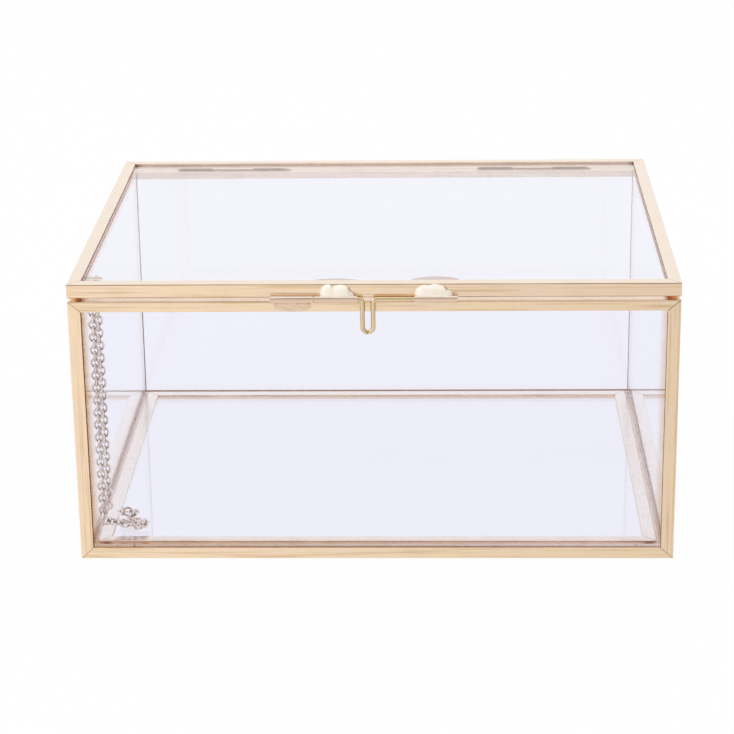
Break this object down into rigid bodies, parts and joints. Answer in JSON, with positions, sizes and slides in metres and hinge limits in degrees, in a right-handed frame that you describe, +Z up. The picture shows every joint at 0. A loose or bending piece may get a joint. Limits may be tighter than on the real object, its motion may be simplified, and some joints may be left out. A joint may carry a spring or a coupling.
{
  "type": "jewelry box",
  "caption": "Clear glass jewelry box in a mitred brass frame, with a hinged glass lid held by a fine chain and a wire slide bolt with a hanging loop at the front.",
  "frame": {"origin": "middle of the underside, on the surface that the box stands on", "axes": "+X to the right along the longest side, +Y from the front with the bolt to the back with the hinges, +Z up"},
  "size_m": [0.1904, 0.1546, 0.0927],
  "materials": {
    "brass": "satin champagne brass sheet",
    "brass_wire": "polished brass wire",
    "glass": "clear float glass",
    "solder": "bright pale solder",
    "chain": "pale plated wire links"
  },
  "bodies": {
    "base": {"bottom_pane": "glass", "bottom_rail_back": "brass", "bottom_rail_front": "brass", "bottom_rail_left": "brass", "bottom_rail_right": "brass", "catch_sleeve": "brass", "catch_solder": "solder", "chain_eye_base": "brass_wire", "floor_strip_back": "brass", "floor_strip_front": "brass", "floor_strip_left": "brass", "floor_strip_right": "brass", "hinge_base_sleeves_left": "brass", "hinge_base_sleeves_right": "brass", "hinge_base_solder_left": "solder", "hinge_base_solder_right": "solder", "hinge_pin_left": "brass_wire", "hinge_pin_right": "brass_wire", "post_back_left": "brass", "post_back_right": "brass", "post_front_left": "brass", "post_front_right": "brass", "top_rail_back": "brass", "top_rail_front": "brass", "top_rail_left": "brass", "top_rail_right": "brass", "wall_pane_back": "glass", "wall_pane_front": "glass", "wall_pane_left": "glass", "wall_pane_right": "glass"},
    "lid": {"bolt_sleeve_left": "brass", "bolt_sleeve_right": "brass", "bolt_solder_left": "solder", "bolt_solder_right": "solder", "chain_eye_lid": "brass_wire", "hinge_lid_sleeve_left": "brass", "hinge_lid_sleeve_right": "brass", "hinge_lid_solder_left": "solder", "hinge_lid_solder_right": "solder", "lid_pane": "glass", "lid_rail_back": "brass", "lid_rail_front": "brass", "lid_rail_left": "brass", "lid_rail_right": "brass"},
    "bolt_rods": {"bolt_rods": "brass_wire"},
    "bolt_handle": {"bolt_handle": "brass_wire"},
    "chain_lid_strand": {"chain_lid_strand": "chain"},
    "chain_fold_1": {"chain_fold_1": "chain"},
    "chain_fold_2": {"chain_fold_2": "chain"},
    "chain_fold_3": {"chain_fold_3": "chain"},
    "chain_fold_4": {"chain_fold_4": "chain"},
    "chain_fold_5": {"chain_fold_5": "chain"},
    "chain_fold_6": {"chain_fold_6": "chain"},
    "chain_base_strand": {"chain_base_strand": "chain"}
  },
  "joints": [
    {"name": "lid_hinge", "type": "hinge", "parent": "base", "child": "lid", "pos_m": [0, 0.0762, 0.0881], "axis": [-1, 0, 0], "range_deg": [0, 95.2]},
    {"name": "bolt_slide", "type": "slide", "parent": "lid", "child": "bolt_rods", "axis": [1, 0, 0], "range_m": [0, 0.0113]},
    {"name": "handle_swing", "type": "hinge", "parent": "bolt_rods", "child": "bolt_handle", "pos_m": [0, -0.0762, 0.0881], "axis": [-1, 0, 0], "range_deg": [0, 180]},
    {"name": "chain_lid_strand_turn", "type": "hinge", "parent": "lid", "child": "chain_lid_strand", "pos_m": [-0.08895, -0.0632, 0.0874], "axis": [1, -0.0066, 0], "range_deg": [0, 48.81]},
    {"name": "chain_fold_1_turn", "type": "hinge", "parent": "chain_lid_strand", "child": "chain_fold_1", "pos_m": [-0.08895, -0.0632, 0.00889], "axis": [-0.0523, 0.9986, 0], "range_deg": [0, 80.02]},
    {"name": "chain_fold_2_turn", "type": "hinge", "parent": "chain_fold_1", "child": "chain_fold_2", "pos_m": [-0.07644, -0.06254, 0.00668], "axis": [-0.1668, -0.1155, -0.9792], "range_deg": [0, 77.88]},
    {"name": "chain_fold_3_turn", "type": "hinge", "parent": "chain_fold_2", "child": "chain_fold_3", "pos_m": [-0.07586, -0.05839, 0.00609], "axis": [0.0397, -0.1459, -0.9885], "range_deg": [0, 85.51]},
    {"name": "chain_fold_4_turn", "type": "hinge", "parent": "chain_fold_3", "child": "chain_fold_4", "pos_m": [-0.08206, -0.05707, 0.00564], "axis": [-0.0682, 0.0145, 0.9976], "range_deg": [0, 90.02]},
    {"name": "chain_fold_5_turn", "type": "hinge", "parent": "chain_fold_4", "child": "chain_fold_5", "pos_m": [-0.0803, -0.04877, 0.00564], "axis": [0, 0, -1], "range_deg": [0, 98.02]},
    {"name": "chain_fold_6_turn", "type": "hinge", "parent": "chain_fold_5", "child": "chain_fold_6", "pos_m": [-0.08453, -0.04848, 0.00564], "axis": [-0.0287, -0.41, -0.9117], "range_deg": [0, 98.24]},
    {"name": "chain_base_strand_turn", "type": "hinge", "parent": "base", "child": "chain_base_strand", "pos_m": [-0.08795, -0.0586, 0.0873], "axis": [1, 0.0068, 0], "range_deg": [0, 133.61]}
  ],
  "couplings": [
    {"joint": "chain_lid_strand_turn", "follows": "lid_hinge", "ratio": 0.51251},
    {"joint": "chain_fold_1_turn", "follows": "lid_hinge", "ratio": 0.84033},
    {"joint": "chain_fold_2_turn", "follows": "lid_hinge", "ratio": 0.81788},
    {"joint": "chain_fold_3_turn", "follows": "lid_hinge", "ratio": 0.898},
    {"joint": "chain_fold_4_turn", "follows": "lid_hinge", "ratio": 0.94537},
    {"joint": "chain_fold_5_turn", "follows": "lid_hinge", "ratio": 1.0294},
    {"joint": "chain_fold_6_turn", "follows": "lid_hinge", "ratio": 1.0317},
    {"joint": "chain_base_strand_turn", "follows": "lid_hinge", "ratio": 1.4032}
  ]
}
